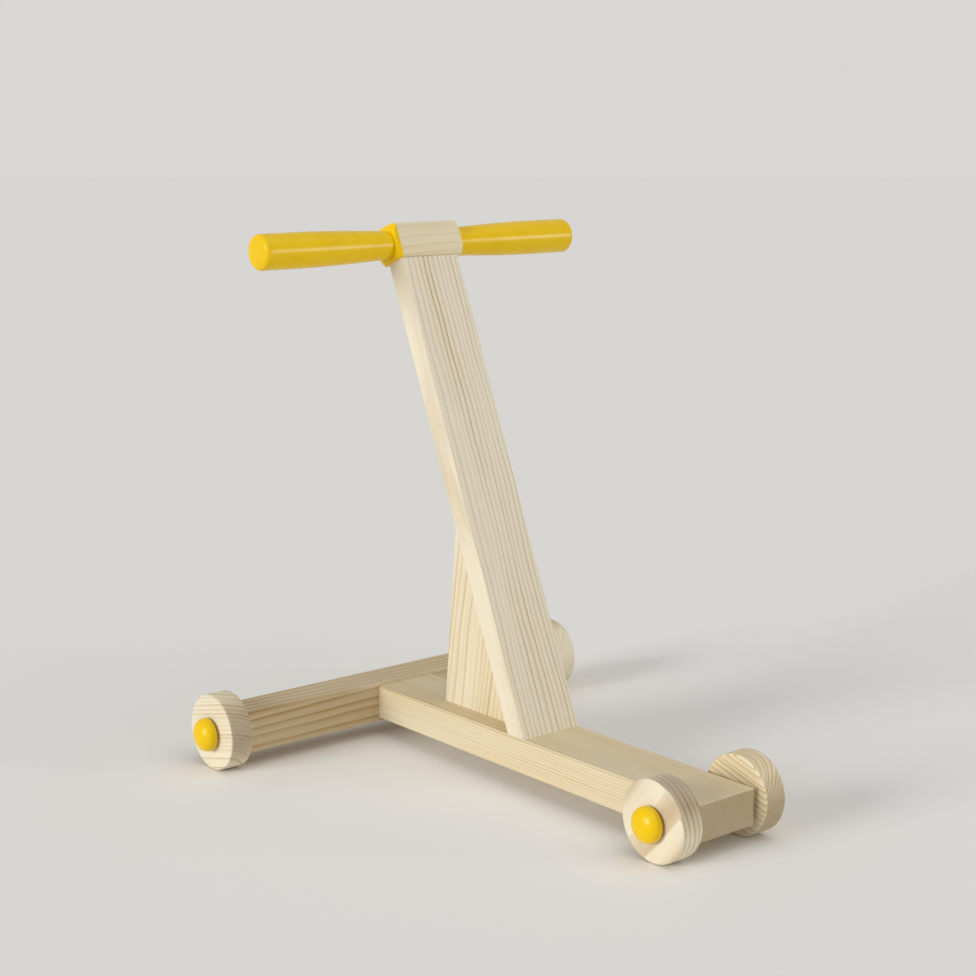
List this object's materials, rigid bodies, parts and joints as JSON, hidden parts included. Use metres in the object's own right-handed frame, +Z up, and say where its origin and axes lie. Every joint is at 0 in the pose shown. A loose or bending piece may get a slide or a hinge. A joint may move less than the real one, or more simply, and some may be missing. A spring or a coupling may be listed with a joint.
{
  "type": "push walker",
  "caption": "Pine push walker for a toddler: flat beam and square rear crossbar on peg-mounted wheels, a leaning braced post and a turned handle with painted grips.",
  "frame": {"origin": "on the floor under the middle of the overall box", "axes": "+X to the walker's right-hand side in the front view, along the crossbar and handle; -Y toward the front end with the close-set wheels; +Z up"},
  "size_m": [0.4182, 0.4576, 0.4594],
  "materials": {
    "pine": "planed and turned pine, clear satin",
    "yellow_enamel": "turned pine under gloss yellow enamel",
    "beech": "plain beech dowel",
    "zinc_steel": "zinc plated",
    "nylon": "matte natural nylon"
  },
  "bodies": {
    "frame": {"rear_crossbar": "pine", "center_beam": "pine", "handle_post": "pine", "post_brace": "pine", "handle_bar": "yellow_enamel", "peg_rear_left": "yellow_enamel", "peg_rear_right": "yellow_enamel", "peg_front_left": "yellow_enamel", "peg_front_right": "yellow_enamel", "beam_dowel_left": "beech", "beam_dowel_right": "beech", "post_dowel_left": "beech", "post_dowel_right": "beech", "handle_dowel_left": "beech", "handle_dowel_right": "beech", "brace_dowel_lower": "beech", "brace_dowel_upper": "beech", "brace_screw_front": "zinc_steel", "brace_screw_rear": "zinc_steel", "washer_rear_left": "nylon", "washer_rear_right": "nylon", "washer_front_left": "nylon", "washer_front_right": "nylon"},
    "rear_left_wheel": {"wheel_rear_left": "pine"},
    "rear_right_wheel": {"wheel_rear_right": "pine"},
    "front_left_wheel": {"wheel_front_left": "pine"},
    "front_right_wheel": {"wheel_front_right": "pine"}
  },
  "joints": [
    {"name": "rear_left_spin", "type": "hinge", "parent": "frame", "child": "rear_left_wheel", "pos_m": [-0.18435, 0.196, 0.03275], "axis": [1, 0, 0], "continuous": true},
    {"name": "rear_right_spin", "type": "hinge", "parent": "frame", "child": "rear_right_wheel", "pos_m": [0.18435, 0.196, 0.03275], "axis": [1, 0, 0], "continuous": true},
    {"name": "front_left_spin", "type": "hinge", "parent": "frame", "child": "front_left_wheel", "pos_m": [-0.04535, -0.196, 0.03275], "axis": [1, 0, 0], "continuous": true},
    {"name": "front_right_spin", "type": "hinge", "parent": "frame", "child": "front_right_wheel", "pos_m": [0.04535, -0.196, 0.03275], "axis": [1, 0, 0], "continuous": true}
  ]
}
